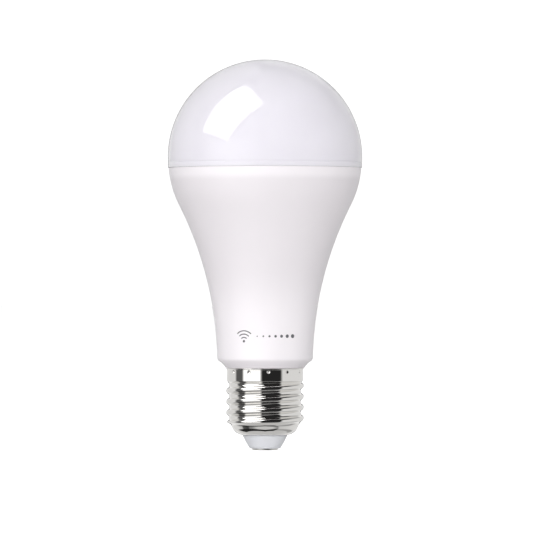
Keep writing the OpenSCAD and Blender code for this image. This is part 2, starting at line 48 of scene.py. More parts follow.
# ---- sizes taken from the frame ----
dome_low, dome_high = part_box("diffuser_dome")
housing_low, housing_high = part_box("outer_housing")
shell_low, shell_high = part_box("screw_shell")
insulator_low, insulator_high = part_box("insulator")
contact_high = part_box("centre_contact")[1]

DOME_R = (dome_high.x - dome_low.x) / 2
DOME_Z = dome_high.z - DOME_R
SEAM_Z = housing_high.z
SKIRT_Z = dome_low.z
SPIGOT_Z = housing_low.z
CAP_TOP = shell_high.z
CAP_BOTTOM = shell_low.z

# ---- the design's own dimensions that a box doesn't give ----
DOME_WALL = 1.4 * MM
LIP_H = 1.6 * MM
SKIRT_R = DOME_R - 2.2 * MM
SKIRT_WALL = 1.2 * MM
NECK_R = 16 * MM
WAIST_Z = 28.4 * MM
FLARE_R = 118.8 * MM
FLARE_ANGLE = math.radians(26.8)
SHOULDER_R = 33.2 * MM
HOUSING_WALL = 1.6 * MM
FOOT_Z = 31.0 * MM
FOOT_R = 13.65 * MM
FOOT_ROUND = 1.5 * MM
SPIGOT_R = 11.55 * MM
SPIGOT_BORE = 10.3 * MM
COLLAR_R = 12.75 * MM
SHEET = 0.35 * MM
THREAD_R = 13.025 * MM
PITCH = 3.629 * MM
THREAD_ARC = 1.05 * MM
THREAD_TURN = math.radians(152)
THREAD_START = (8.4 * MM, 9.6 * MM)
THREAD_END = (22.0 * MM, 23.3 * MM)
THREAD_REF_Z = 9.2 * MM
CONE_TOP = (11.45 * MM, 8.6 * MM)
CONE_SLOPE = 0.466
TURN_Z = 7.3 * MM
TURN_IN = 2.2 * MM
DIMPLES = 12
DIMPLE_TURN = math.radians(5)
DIMPLE_Z = CAP_TOP - 1.3 * MM
DIMPLE_R = 0.68 * MM
DIMPLE_DEPTH = 0.38 * MM
BEAD_HALF = 0.3 * MM
BEAD_OUT = 0.22 * MM
COLLAR_Z = 24.5 * MM
TURN_STEPS = 256
SHELL_STEPS = 540

# ---- fades of the housing's painted light, two paler bands: the neck painted paler as if lit more, fading to painted shade just above the cap, and a painted highlight under the seam; heights, and heights from the cap and the seam ----
NECK_PAINTED_LIGHT_FADE = (42 * MM, 62 * MM)
FOOT_PAINTED_SHADE_FADE = (0.8 * MM, 3.2 * MM)
RIM_PAINTED_HIGHLIGHT_FADE = (4.5 * MM, 2 * MM)

# ---- the camera's place: level and in front, far enough off for little perspective ----
CAMERA_DISTANCE = 1.6
CAMERA_HEIGHT = 61.4 * MM
CAMERA_SIDE = 0.5 * MM
VIEW_WIDTH = 178.3 * MM
SENSOR_MM = 36.0


# ---------------------------------------------------------------- node trees
class Tree:
    """Short forms for building a node tree."""

    def __init__(self, tree):
        tree.nodes.clear()
        self.tree = tree

    def node(self, kind, sockets=None, **settings):
        made = self.tree.nodes.new(kind)
        for name, value in settings.items():
            setattr(made, name, value)
        for name, value in (sockets or {}).items():
            self.put(made.inputs[name], value)
        return made

    def put(self, socket, value):
        if isinstance(value, bpy.types.NodeSocket):
            self.tree.links.new(value, socket)
        else:
            socket.default_value = value

    def math(self, operation, *values, clamp=False):
        made = self.node("ShaderNodeMath", operation=operation, use_clamp=clamp)
        for socket, value in zip(made.inputs, values):
            self.put(socket, value)
        return made.outputs[0]

    def ramp(self, value, low, high, to_low=0.0, to_high=1.0, smooth=True):
        kind = "SMOOTHSTEP" if smooth else "LINEAR"
        made = self.node("ShaderNodeMapRange", {
            "Value": value, "From Min": low, "From Max": high,
            "To Min": to_low, "To Max": to_high}, interpolation_type=kind)
        return made.outputs[0]

    def band(self, value, low, high, edge):
        """1 between low and high, 0 outside, with edges that soften over edge."""
        rise = self.ramp(value, low - edge / 2, low + edge / 2)
        fall = self.ramp(value, high - edge / 2, high + edge / 2, 1.0, 0.0)
        return self.math("MULTIPLY", rise, fall)

    def mix(self, factor, a, b, blend="MIX"):
        made = self.node("ShaderNodeMix", data_type="RGBA", blend_type=blend)
        self.put(made.inputs["Factor"], factor)
        for name, value in (("A", a), ("B", b)):
            socket = [s for s in made.inputs if s.name == name and s.type == "RGBA"][0]
            self.put(socket, (*value, 1.0) if isinstance(value, tuple) else value)
        return [s for s in made.outputs if s.type == "RGBA"][0]

    def blend(self, factor, a, b):
        made = self.node("ShaderNodeMix", data_type="FLOAT")
        for socket, value in zip(made.inputs[0:1] + made.inputs[2:4], (factor, a, b)):
            self.put(socket, value)
        return made.outputs[0]

    def noise(self, scale, detail=3.0, stretch=None, roughness=0.5):
        place = self.node("ShaderNodeTexCoord").outputs["Object"]
        if stretch:
            place = self.node("ShaderNodeMapping", {"Vector": place, "Scale": stretch}).outputs[0]
        return self.node("ShaderNodeTexNoise", {
            "Vector": place, "Scale": scale, "Detail": detail,
            "Roughness": roughness}).outputs["Fac"]

    def position(self):
        """The three coordinates of the shared frame, in metres."""
        place = self.node("ShaderNodeTexCoord").outputs["Object"]
        return tuple(self.node("ShaderNodeSeparateXYZ", {"Vector": place}).outputs)

    def distance(self, *offsets):
        """The length of two offsets at right angles."""
        squares = [self.math("MULTIPLY", d, d) for d in offsets]
        return self.math("SQRT", self.math("ADD", *squares))

    def bump(self, height, depth):
        return self.node("ShaderNodeBump", {
            "Height": height, "Distance": depth, "Strength": 1.0}).outputs[0]


def new_material(name):
    material = bpy.data.materials.new(name)
    material.use_nodes = True
    tree = Tree(material.node_tree)
    shader = tree.node("ShaderNodeBsdfPrincipled")
    output = tree.node("ShaderNodeOutputMaterial")
    tree.put(output.inputs["Surface"], shader.outputs[0])
    return material, tree, shader


def set_shader(tree, shader, **sockets):
    for name, value in sockets.items():
        tree.put(shader.inputs[name.replace("_", " ")], value)


# ---------------------------------------------------------------- materials of the outside
def opal_plastic():
    material, tree, shader = new_material("opal_plastic")
    cloud = tree.noise(90.0, 2.0)
    colour = tree.mix(cloud, (0.812, 0.791, 0.849), (0.834, 0.812, 0.869))
    grain = tree.noise(2600.0, 2.0)
    set_shader(tree, shader, Base_Color=colour, Subsurface_Weight=1.0,
               Subsurface_Radius=(1.0, 1.0, 1.0), Subsurface_Scale=1.2 * MM, IOR=1.5,
               Roughness=tree.ramp(grain, 0.3, 0.7, 0.03, 0.05),
               Sheen_Weight=0.3, Sheen_Roughness=0.35,
               Normal=tree.bump(grain, 0.0006 * MM))
    return material


def housing_plastic():
    material, tree, shader = new_material("housing_plastic")
    cloud = tree.noise(70.0, 2.0)
    height = tree.position()[2]
    colour = tree.mix(cloud, (0.805, 0.769, 0.798), (0.828, 0.791, 0.820))
    # painted light: the neck painted paler as if lit more, darker again just above the cap as painted
    # shade, and a painted highlight band just under the seam
    neck_painted_light = tree.math("MULTIPLY", tree.ramp(height, *NECK_PAINTED_LIGHT_FADE, 0.85, 0.0),
                     tree.ramp(height, CAP_TOP + FOOT_PAINTED_SHADE_FADE[0], CAP_TOP + FOOT_PAINTED_SHADE_FADE[1], 0.1, 1.0))
    # painted highlight: a paler band just under the seam
    rim = tree.ramp(height, SEAM_Z - RIM_PAINTED_HIGHLIGHT_FADE[0], SEAM_Z - RIM_PAINTED_HIGHLIGHT_FADE[1], 0.0, 0.8)
    colour = tree.mix(tree.math("MAXIMUM", neck_painted_light, rim), colour, (0.925, 0.890, 0.920))
    grain = tree.noise(5200.0, 3.0)
    set_shader(tree, shader, Base_Color=colour, IOR=1.5,
               Roughness=tree.ramp(grain, 0.3, 0.7, 0.34, 0.42),
               Normal=tree.bump(grain, 0.004 * MM))
    return material


def plated_metal(name, light, dark, roughness, spots):
    """Bright plating: faint cloudy tint and faint drawing marks round the axis."""
    material, tree, shader = new_material(name)
    cloud = tree.noise(spots, 4.0)
    rings = tree.noise(900.0, 2.0, stretch=(0.1, 0.1, 3.0))
    set_shader(tree, shader, Base_Color=tree.mix(cloud, light, dark), Metallic=1.0,
               Roughness=tree.ramp(rings, 0.3, 0.7, roughness * 0.8, roughness * 1.3),
               Normal=tree.bump(rings, 0.0004 * MM))
    return material


def insulator_plastic():
    material, tree, shader = new_material("insulator_plastic")
    cloud = tree.noise(240.0, 3.0)
    colour = tree.mix(cloud, (0.755, 0.765, 0.80), (0.785, 0.795, 0.83))
    grain = tree.noise(4000.0, 2.0)
    set_shader(tree, shader, Base_Color=colour, IOR=1.5,
               Roughness=tree.ramp(grain, 0.3, 0.7, 0.3, 0.42),
               Normal=tree.bump(grain, 0.004 * MM))
    return material


def printed_ink():
    material, tree, shader = new_material("printed_ink")
    speckle = tree.noise(6000.0, 2.0)
    set_shader(tree, shader, Base_Color=tree.mix(speckle, (0.10, 0.10, 0.11), (0.17, 0.17, 0.18)),
               Roughness=tree.ramp(speckle, 0.3, 0.7, 0.5, 0.65))
    return material


# ---------------------------------------------------------------- materials of the parts inside
# a layer's look: two close tints, roughness, metallic
TINNED = (((0.80, 0.80, 0.78), (0.64, 0.64, 0.63)), 0.28, 1.0)
FERRITE = (((0.060, 0.058, 0.060), (0.095, 0.092, 0.094)), 0.62, 0.0)
ALUMINIUM = (((0.80, 0.80, 0.81), (0.68, 0.68, 0.70)), 0.34, 1.0)
BARE_LAMINATE = (((0.46, 0.44, 0.26), (0.56, 0.53, 0.33)), 0.6, 0.0)
WHITE_COAT = (((0.85, 0.85, 0.83), (0.81, 0.81, 0.79)), 0.45, 0.0)
GOLD = (((0.92, 0.70, 0.34), (0.83, 0.61, 0.27)), 0.26, 1.0)
BROWN = (((0.17, 0.075, 0.035), (0.21, 0.095, 0.045)), 0.4, 0.0)
BLACK = (((0.010, 0.010, 0.011), (0.020, 0.020, 0.021)), 0.4, 0.0)

X, Y, Z = range(3)
# softness of a mask's edge, in millimetres
EDGE = 0.04


def surface(name, look, scale, relief=0.004, stretch=None, layers=(), **sockets):
    """Two close tints mixed by noise, with grain in the gloss and the relief. Each layer is a
    mask made from the position and the look that it uncovers."""
    material, tree, shader = new_material(name)
    tints, roughness, metallic = look
    position = tree.position()
    cloud = tree.noise(scale, 3.0, stretch)
    grain = tree.noise(scale * 5, 3.0, stretch)
    cloudy = tree.ramp(cloud, 0.3, 0.7)
    colour = tree.mix(cloudy, *tints)
    for mask, (layer_tints, layer_roughness, layer_metallic) in layers:
        cover = mask(tree, *position)
        colour = tree.mix(cover, colour, tree.mix(cloudy, *layer_tints))
        roughness = tree.blend(cover, roughness, layer_roughness)
        metallic = tree.blend(cover, metallic, layer_metallic)
    wear = tree.ramp(grain, 0.3, 0.7, 0.85, 1.2)
    set_shader(tree, shader, Base_Color=colour, Metallic=metallic,
               Roughness=tree.math("MULTIPLY", wear, roughness),
               Normal=tree.bump(grain, relief * MM), **sockets)
    return material


# masks: each makes a function that builds the mask from the position; sizes in millimetres
def above(axis, level):
    return lambda tree, *p: tree.ramp(p[axis], (level - EDGE) * MM, (level + EDGE) * MM)


def below(axis, level):
    return lambda tree, *p: tree.ramp(p[axis], (level - EDGE) * MM, (level + EDGE) * MM, 1.0, 0.0)


def between(axis, low, high):
    return lambda tree, *p: tree.band(p[axis], low * MM, high * MM, 2 * EDGE * MM)


def off_centre(axis, centre, half):
    def mask(tree, *p):
        off = tree.math("ABSOLUTE", tree.math("SUBTRACT", p[axis], centre * MM))
        return tree.ramp(off, (half - EDGE) * MM, (half + EDGE) * MM)
    return mask


def round_axis(centre, radius):
    """Inside an upright cylinder."""
    def mask(tree, x, y, z):
        away = tree.distance(tree.math("SUBTRACT", x, centre[0] * MM),
                             tree.math("SUBTRACT", y, centre[1] * MM))
        return tree.ramp(away, (radius - EDGE) * MM, (radius + EDGE) * MM, 1.0, 0.0)
    return mask


def sector(centre, start, end):
    """Between two directions about an upright axis, in degrees from +X."""
    def mask(tree, x, y, z):
        turn = tree.math("ARCTAN2", tree.math("SUBTRACT", y, centre[1] * MM),
                         tree.math("SUBTRACT", x, centre[0] * MM))
        return tree.band(turn, math.radians(start), math.radians(end), math.radians(2))
    return mask


def both(first, second):
    return lambda tree, *p: tree.math("MULTIPLY", first(tree, *p), second(tree, *p))


def row_ends(rows, body, end):
    """The two end caps of chip parts that lie in columns at the given places across."""
    def mask(tree, x, y, z):
        found = 0.0
        for row in rows:
            off = tree.math("ABSOLUTE", tree.math("SUBTRACT", x, row * MM))
            found = tree.math("ADD", tree.band(off, body * MM, end * MM, 2 * EDGE * MM), found)
        return found
    return mask


def copper(across, up, cell, gap_share):
    """Fields of copper under the lacquer, apart by narrow gaps."""
    def mask(tree, *p):
        place = tree.node("ShaderNodeCombineXYZ", {"X": p[across], "Y": p[up]}).outputs[0]
        bricks = tree.node("ShaderNodeTexBrick", {
            "Vector": place, "Scale": 1 / (cell * MM), "Mortar Size": gap_share,
            "Mortar Smooth": 0.2, "Brick Width": 1.7, "Row Height": 0.6}, offset=0.37)
        return tree.math("SUBTRACT", 1.0, bricks.outputs["Fac"])
    return mask


def led_place(tree, x, y, ring_r, count):
    """Distances across and along the ring from the nearest diode's centre."""
    step = 2 * math.pi / count
    turn = tree.math("WRAP", tree.math("SUBTRACT", tree.math("ARCTAN2", y, x), step / 2),
                     step / 2, -step / 2)
    across = tree.math("SUBTRACT", tree.distance(x, y), ring_r * MM)
    return across, tree.math("MULTIPLY", turn, ring_r * MM)


# the two rings of diodes, each a radius and a count, and the border between them
LED_RINGS = ((22.8, 24), (12.2, 12))
RING_BORDER = (17.4 * MM, 17.6 * MM)
WINDOW_EDGE = (1.06 * MM, 1.12 * MM)
FEET_EDGE = (1.74 * MM, 1.77 * MM)


def on_rings(measure):
    """A mask measured from the nearest diode, on whichever ring is nearer."""
    def mask(tree, x, y, z):
        found = [measure(tree, *led_place(tree, x, y, ring_r, count)) for ring_r, count in LED_RINGS]
        outer = tree.ramp(tree.distance(x, y), *RING_BORDER)
        return tree.blend(outer, found[1], found[0])
    return mask


LED_WINDOW = on_rings(lambda tree, across, along: tree.ramp(
    tree.distance(across, along), *WINDOW_EDGE, 1.0, 0.0))
LED_FEET = on_rings(lambda tree, across, along: tree.ramp(
    tree.math("ABSOLUTE", along), *FEET_EDGE))


def diodes(name, phosphor):
    top = SEAM_Z / MM - 1.5
    window = both(LED_WINDOW, above(Z, top))
    return surface(name, (((0.86, 0.86, 0.84), (0.80, 0.80, 0.78)), 0.35, 0.0), 900.0, layers=[
        (window, (phosphor, 0.16, 0.0)), (LED_FEET, TINNED)])


def can_capacitor(name, centre, radius, vent, leads, stripe):
    """Sleeved can with a pale stripe, a bare vent end and tinned leads."""
    sleeve = (((0.018, 0.020, 0.038), (0.030, 0.034, 0.058)), 0.3, 0.0)
    pale = (((0.50, 0.51, 0.53), (0.56, 0.57, 0.58)), 0.35, 0.0)
    return surface(name, sleeve, 700.0, layers=[
        (sector(centre, *stripe), pale),
        (both(round_axis(centre, radius - 0.9), vent), ALUMINIUM), (leads, TINNED)])


def chip(name, centre, half):
    body = (((0.022, 0.022, 0.024), (0.036, 0.036, 0.038)), 0.55, 0.0)
    return surface(name, body, 3200.0, layers=[(off_centre(X, centre, half), TINNED)])


def board(name, lacquer, copper_tint, faces, cell):
    """Lacquered laminate with copper under the lacquer and bare edges."""
    low, high = faces
    skin = 0.05
    return surface(name, (lacquer, 0.38, 0.0), 500.0, layers=[
        (copper(X, Z, cell, gap_share=0.05), (copper_tint, 0.3, 0.0)),
        (between(Y, low + skin, high - skin), BARE_LAMINATE)])


def inner_materials():
    """The material of each node that keeps the mesh of the design. Levels in millimetres."""
    coat_z = SEAM_Z / MM - 2.2
    return {
        "dome_seal": surface(
            "silicone", (((0.74, 0.74, 0.72), (0.82, 0.82, 0.80)), 0.42, 0.0), 420.0,
            Subsurface_Weight=0.4, Subsurface_Scale=0.4 * MM),
        "heat_sink_cup": surface(
            "drawn_aluminium", ALUMINIUM, 260.0, relief=0.003, stretch=(1.0, 1.0, 0.12)),
        "heat_spreader": surface(
            "turned_aluminium", ALUMINIUM, 340.0, relief=0.003, stretch=(1.0, 0.15, 1.0)),
        "thermal_pad": surface(
            "thermal_pad", (((0.30, 0.36, 0.43), (0.38, 0.44, 0.51)), 0.75, 0.0), 1500.0,
            relief=0.01),
        "led_board": surface(
            "white_coated_aluminium", ALUMINIUM, 400.0, layers=[
                (above(Z, coat_z), WHITE_COAT),
                (both(above(Z, coat_z), copper(X, Y, cell=5.0, gap_share=0.04)),
                 (((0.90, 0.90, 0.885), (0.87, 0.87, 0.855)), 0.4, 0.0))]),
        "warm_white_leds": diodes("warm_diodes", ((0.90, 0.60, 0.16), (0.95, 0.68, 0.24))),
        "cool_white_leds": diodes("cool_diodes", ((0.90, 0.80, 0.33), (0.95, 0.86, 0.42))),
        "board_screws": surface(
            "zinc_steel", (((0.70, 0.72, 0.74), (0.60, 0.61, 0.60)), 0.3, 1.0), 1100.0),
        "led_socket": surface(
            "white_nylon", (((0.80, 0.79, 0.74), (0.85, 0.84, 0.79)), 0.42, 0.0), 1300.0),
        "led_header_pins": surface("gold_plate", GOLD, 1800.0),
        "wifi_board": board(
            "radio_board", lacquer=((0.012, 0.050, 0.032), (0.018, 0.064, 0.042)),
            copper_tint=((0.022, 0.090, 0.058), (0.028, 0.105, 0.068)), faces=(-0.4, 0.4), cell=2.4),
        "wifi_shield_can": surface(
            "tin_plate", (((0.76, 0.76, 0.74), (0.68, 0.68, 0.66)), 0.24, 1.0), 500.0,
            stretch=(0.1, 1.0, 1.0)),
        "wifi_antenna": surface(
            "antenna_copper", (((0.90, 0.55, 0.30), (0.80, 0.47, 0.25)), 0.33, 1.0), 1900.0),
        "wifi_header_pins": surface(
            "header", GOLD, 1800.0, layers=[(between(Y, 0.38, 3.02), BLACK)]),
        "driver_sleeve": surface(
            "ivory_liner", (((0.80, 0.76, 0.62), (0.85, 0.81, 0.68)), 0.5, 0.0), 320.0,
            relief=0.01),
        "driver_board": board(
            "driver_board", lacquer=((0.020, 0.115, 0.060), (0.030, 0.135, 0.072)),
            copper_tint=((0.045, 0.190, 0.095), (0.058, 0.215, 0.110)), faces=(3.0, 4.2), cell=5.5),
        "input_capacitor": can_capacitor(
            "input_capacitor", centre=(0, -2.1), radius=5, vent=above(Z, 31.9),
            leads=below(Z, 15.17), stripe=(-120, -80)),
        "output_capacitor": can_capacitor(
            "output_capacitor", centre=(5, -1.1), radius=4, vent=below(Z, 62.8),
            leads=above(Z, 74.53), stripe=(-70, -25)),
        "film_capacitor": surface(
            "red_lacquer", (((0.36, 0.045, 0.030), (0.43, 0.060, 0.038)), 0.22, 0.0), 480.0,
            relief=0.02, layers=[(above(Y, 2.79), TINNED)]),
        "varistor": surface(
            "blue_lacquer", (((0.030, 0.120, 0.390), (0.042, 0.145, 0.440)), 0.2, 0.0), 520.0,
            relief=0.02, layers=[(above(Y, 2.64), TINNED)]),
        "fusible_resistor": surface(
            "resistor_coat", (((0.28, 0.33, 0.24), (0.33, 0.38, 0.28)), 0.5, 0.0), 900.0,
            layers=[(between(Z, 18.0, 18.7), BROWN), (between(Z, 20.1, 20.7), BLACK),
                    (between(Z, 21.6, 22.2), BLACK),
                    (between(Z, 24.4, 25.1), (((0.70, 0.50, 0.18), (0.60, 0.42, 0.14)), 0.4, 1.0)),
                    (off_centre(Z, 21.5, 4.53), TINNED)]),
        "filter_choke": surface(
            "choke", FERRITE, 900.0,
            layers=[(between(Z, 66.0, 72.8), BLACK), (below(Z, 64.36), TINNED)]),
        "transformer_core": surface("ferrite", FERRITE, 1100.0, relief=0.01),
        "transformer_bobbin": surface(
            "black_phenolic", BLACK, 1400.0, layers=[(off_centre(Z, 54.0, 3.58), TINNED)]),
        "transformer_winding": surface(
            "yellow_tape", (((0.78, 0.55, 0.05), (0.84, 0.61, 0.08)), 0.25, 0.0), 420.0,
            stretch=(0.2, 0.2, 1.5),
            layers=[(between(X, 1.15, 1.35), (((0.55, 0.37, 0.03), (0.60, 0.41, 0.04)), 0.3, 0.0))]),
        "bridge_rectifier": chip("bridge_rectifier", centre=-4.2, half=2.01),
        "driver_ic": chip("driver_ic", centre=3.5, half=1.96),
        "output_diode": chip("output_diode", centre=-5.0, half=2.16),
        "regulator_ic": chip("regulator_ic", centre=0.5, half=0.81),
        "chip_resistors": surface(
            "chip_resistors", BLACK, 2600.0,
            layers=[(row_ends(rows=(-7.5, 8.0, 1.5), body=0.7, end=1.1), TINNED)]),
        "chip_capacitors": surface(
            "chip_capacitors", (((0.43, 0.31, 0.19), (0.50, 0.37, 0.24)), 0.45, 0.0), 2600.0,
            layers=[(row_ends(rows=(-3.5, 5.8), body=0.62, end=1.1), TINNED)]),
        "solder_joints": surface(
            "solder", (((0.76, 0.76, 0.75), (0.60, 0.60, 0.60)), 0.24, 1.0), 2400.0, relief=0.02),
        "live_wire": surface(
            "brown_wire", BROWN, 700.0, layers=[(below(Z, 8.1), TINNED), (above(Z, 12.7), TINNED)]),
        "neutral_wire": surface(
            "blue_wire", (((0.035, 0.14, 0.50), (0.045, 0.17, 0.56)), 0.35, 0.0), 700.0,
            layers=[(below(X, -10.85), TINNED)])}


def dress_inner_nodes():
    for name, material in inner_materials().items():
        mesh = nodes[name].data
        mesh.materials.clear()
        mesh.materials.append(material)


# ---------------------------------------------------------------- mesh code
def finish_mesh(name, mesh, sharp_degrees, material):
    for polygon in mesh.polygons:
        polygon.use_smooth = True
    mesh.set_sharp_from_angle(angle=math.radians(sharp_degrees))
    mesh.materials.append(material)
    piece = bpy.data.objects.new(name, mesh)
    bpy.context.scene.collection.objects.link(piece)
    return piece


def arc(centre, radius, start, end, steps):
    """Points on a circle from one angle to another, in degrees, as (radius, height)."""
    angles = np.radians(np.linspace(start, end, steps + 1))
    return [(centre[0] + radius * math.cos(a), centre[1] + radius * math.sin(a)) for a in angles]


def turned(name, outline, material, sharp_degrees=28, steps=TURN_STEPS):
    """A closed outline turned about the axis. Points at radius 0 become single vertices."""
    mesh = bpy.data.meshes.new(name)
    bm = bmesh.new()
    rings = []
    for radius, height in outline:
        if radius < 1e-7:
            rings.append([bm.verts.new((0, 0, height))])
        else:
            rings.append([bm.verts.new((radius * math.cos(a), radius * math.sin(a), height))
                          for a in np.linspace(0, 2 * math.pi, steps, endpoint=False)])
    for lower, upper in zip(rings, rings[1:] + rings[:1]):
        if len(lower) == 1 and len(upper) == 1:
            continue
        for i in range(steps):
            j = (i + 1) % steps
            corners = [lower[i % len(lower)], lower[j % len(lower)],
                       upper[j % len(upper)], upper[i % len(upper)]]
            bm.faces.new(list(dict.fromkeys(corners)))
    bmesh.ops.recalc_face_normals(bm, faces=bm.faces)
    bm.to_mesh(mesh)
    bm.free()
    return finish_mesh(name, mesh, sharp_degrees, material)


def stacked(name, rings, material, sharp_degrees=40):
    """A closed tube of equal rings, given as one array of rings by points by coordinates."""
    count, around, _ = rings.shape
    i, j = np.meshgrid(np.arange(count), np.arange(around), indexing="ij")
    i2, j2 = (i + 1) % count, (j + 1) % around
    faces = np.stack([i * around + j, i2 * around + j, i2 * around + j2, i * around + j2], -1)
    mesh = bpy.data.meshes.new(name)
    mesh.from_pydata(rings.reshape(-1, 3).tolist(), [], faces.reshape(-1, 4).tolist())
    bm = bmesh.new()
    bm.from_mesh(mesh)
    bmesh.ops.recalc_face_normals(bm, faces=bm.faces)
    bm.to_mesh(mesh)
    bm.free()
    return finish_mesh(name, mesh, sharp_degrees, material)


# ---------------------------------------------------------------- outlines
FLARE_C = (NECK_R + FLARE_R, WAIST_Z)
SHOULDER_C = (FLARE_C[0] - (FLARE_R + SHOULDER_R) * math.cos(FLARE_ANGLE),
              FLARE_C[1] + (FLARE_R + SHOULDER_R) * math.sin(FLARE_ANGLE))


def side_line(inset, top, bottom, steps=(24, 40)):
    """The housing's side, inset from the outer surface, from the top down."""
    start = math.degrees(math.asin((top - SHOULDER_C[1]) / (SHOULDER_R - inset)))
    end = 180 - math.degrees(math.asin((bottom - WAIST_Z) / (FLARE_R + inset)))
    flare = math.degrees(FLARE_ANGLE)
    upper = arc(SHOULDER_C, SHOULDER_R - inset, start, -flare, steps[0])
    lower = arc(FLARE_C, FLARE_R + inset, 180 - flare, end, steps[1])
    return upper + lower[1:]


def side_radius(height):
    """Radius of the housing's outer surface at a height below the shoulder's end."""
    return FLARE_C[0] - math.sqrt(FLARE_R ** 2 - (height - WAIST_Z) ** 2)


def dome_outline():
    c = (0.0, DOME_Z)
    inner = DOME_R - DOME_WALL
    lip_top = SEAM_Z + LIP_H
    floor_z = SEAM_Z + 0.9 * MM
    top_angle = math.degrees(math.asin((lip_top + 0.3 * MM - DOME_Z) / DOME_R))
    in_angle = math.degrees(math.asin((floor_z + 0.6 * MM - DOME_Z) / inner))
    outer = arc(c, DOME_R, 90, top_angle, 96)
    lip = [(DOME_R - 0.13 * MM, lip_top + 0.14 * MM), (DOME_R - 0.12 * MM, lip_top + 0.07 * MM),
           (DOME_R - 0.05 * MM, lip_top), (DOME_R - 0.02 * MM, lip_top - 0.1 * MM),
           (DOME_R - 0.01 * MM, SEAM_Z + 0.2 * MM), (DOME_R - 0.04 * MM, SEAM_Z + 0.09 * MM),
           (DOME_R - 0.13 * MM, SEAM_Z + 0.03 * MM)]
    skirt = [(SKIRT_R, SEAM_Z + 0.03 * MM), (SKIRT_R, SKIRT_Z + 0.15 * MM),
             (SKIRT_R - 0.15 * MM, SKIRT_Z), (SKIRT_R - SKIRT_WALL, SKIRT_Z),
             (SKIRT_R - SKIRT_WALL, floor_z)]
    return outer + lip + skirt + arc(c, inner, in_angle, 90, 80)


def housing_outline():
    top_round = 0.08 * MM
    top_r = SHOULDER_C[0] + SHOULDER_R - 0.16 * MM
    foot_c = (NECK_R - FOOT_ROUND + 0.04 * MM, FOOT_Z)
    foot = arc(foot_c, FOOT_ROUND, 0, -45, 12)
    under = [(FOOT_R + 0.45 * MM, CAP_TOP + 1.15 * MM), (FOOT_R, CAP_TOP + 0.6 * MM),
             (FOOT_R - 0.4 * MM, CAP_TOP + 0.05 * MM), (FOOT_R - 0.47 * MM, CAP_TOP)]
    collar_r = COLLAR_R - SHEET - 0.05 * MM
    inside = side_line(HOUSING_WALL, SEAM_Z, FOOT_Z + 0.6 * MM)
    return ([(top_r, SEAM_Z), (top_r + 0.06 * MM, SEAM_Z - 0.02 * MM)]
            + side_line(0.0, SEAM_Z - top_round, FOOT_Z + 0.2 * MM) + foot + under
            + [(collar_r, CAP_TOP), (collar_r, THREAD_END[1] + 0.7 * MM),
               (SPIGOT_R, THREAD_END[1]), (SPIGOT_R, SPIGOT_Z), (SPIGOT_BORE, SPIGOT_Z),
               (SPIGOT_BORE, CAP_TOP - 0.3 * MM), (NECK_R - HOUSING_WALL - 0.05 * MM, FOOT_Z)]
            + inside[::-1])


def insulator_outline():
    low, high = insulator_low.z, insulator_high.z
    bore = 1.25 * MM
    edge = 0.8 * MM
    top_r = insulator_high.x
    slope = [(6.5 * MM, 2.8 * MM), (7.35 * MM, 4.6 * MM), (7.5 * MM, CAP_BOTTOM - 0.12 * MM),
             (7.46 * MM, CAP_BOTTOM - 0.04 * MM), (7.25 * MM, CAP_BOTTOM),
             (7.25 * MM, CAP_BOTTOM + 0.6 * MM), (top_r, high - 0.5 * MM), (top_r, high)]
    return [(bore, low)] + arc((5.5 * MM - edge, low + edge), edge, -90, -20, 10) + slope + [(bore, high)]


def contact_outline():
    """A stamped button: flat face, rolled edge and a shallow ring pressed round it."""
    head_r = contact_high.x
    head_h = insulator_low.z
    pin_r, pin_top = 1.2 * MM, contact_high.z
    rim = arc((head_r - 0.4 * MM, 0.4 * MM), 0.4 * MM, -90, 0, 8)
    ring = [(2.5 * MM, 0.0), (2.62 * MM, 0.05 * MM), (2.9 * MM, 0.05 * MM), (3.02 * MM, 0.0)]
    return ([(0.0, 0.0)] + ring + rim
            + [(head_r, head_h), (pin_r, head_h), (pin_r, pin_top - 0.2 * MM),
               (pin_r - 0.3 * MM, pin_top), (0.0, pin_top)])


# ---------------------------------------------------------------- screw shell
def smooth(x):
    t = np.clip(x, 0, 1)
    return t * t * (3 - 2 * t)


def shell_radius(z, a):
    """Outer radius of the sheet at a height and an angle: lip, thread and collar; the bead and dimples
    are added where the rings are built.
    """
    crest_c = THREAD_R - THREAD_ARC
    root_c = crest_c + math.sqrt(4 * THREAD_ARC ** 2 - PITCH ** 2 / 4)
    turn = (z - THREAD_REF_Z) / PITCH - (a + THREAD_TURN) / (2 * math.pi)
    part = turn - np.floor(turn)
    gap = np.minimum(part, 1 - part) * PITCH
    crest = crest_c + np.sqrt(np.maximum(THREAD_ARC ** 2 - gap ** 2, 0))
    root = root_c - np.sqrt(np.maximum(THREAD_ARC ** 2 - (PITCH / 2 - gap) ** 2, 0))
    thread = np.where(gap < PITCH / 4, crest, root)
    fade_in = smooth((z - THREAD_START[0]) / (THREAD_START[1] - THREAD_START[0]))
    fade_out = smooth((THREAD_END[1] - z) / (THREAD_END[1] - THREAD_END[0]))
    collar = smooth((z - THREAD_END[0]) / (THREAD_END[1] - THREAD_END[0]))
    bend = np.clip((TURN_Z - z) / (TURN_Z - CAP_BOTTOM), 0, 1)
    cone = CONE_TOP[0] - CONE_SLOPE * (CONE_TOP[1] - z) - TURN_IN * (1 - np.sqrt(1 - bend ** 2))
    plain = np.where(z < CONE_TOP[1], cone, CONE_TOP[0] + (COLLAR_R - CONE_TOP[0]) * collar)
    return plain + fade_in * fade_out * (thread - plain)


def dimple_depth(z, a):
    """How far the nearest crimp dimple dents the sheet."""
    step = 2 * math.pi / DIMPLES
    off = (a + math.pi / 2 - DIMPLE_TURN + step / 2) % step - step / 2
    distance = np.hypot(off * COLLAR_R, z - DIMPLE_Z)
    return DIMPLE_DEPTH * (1 - smooth(distance / DIMPLE_R))


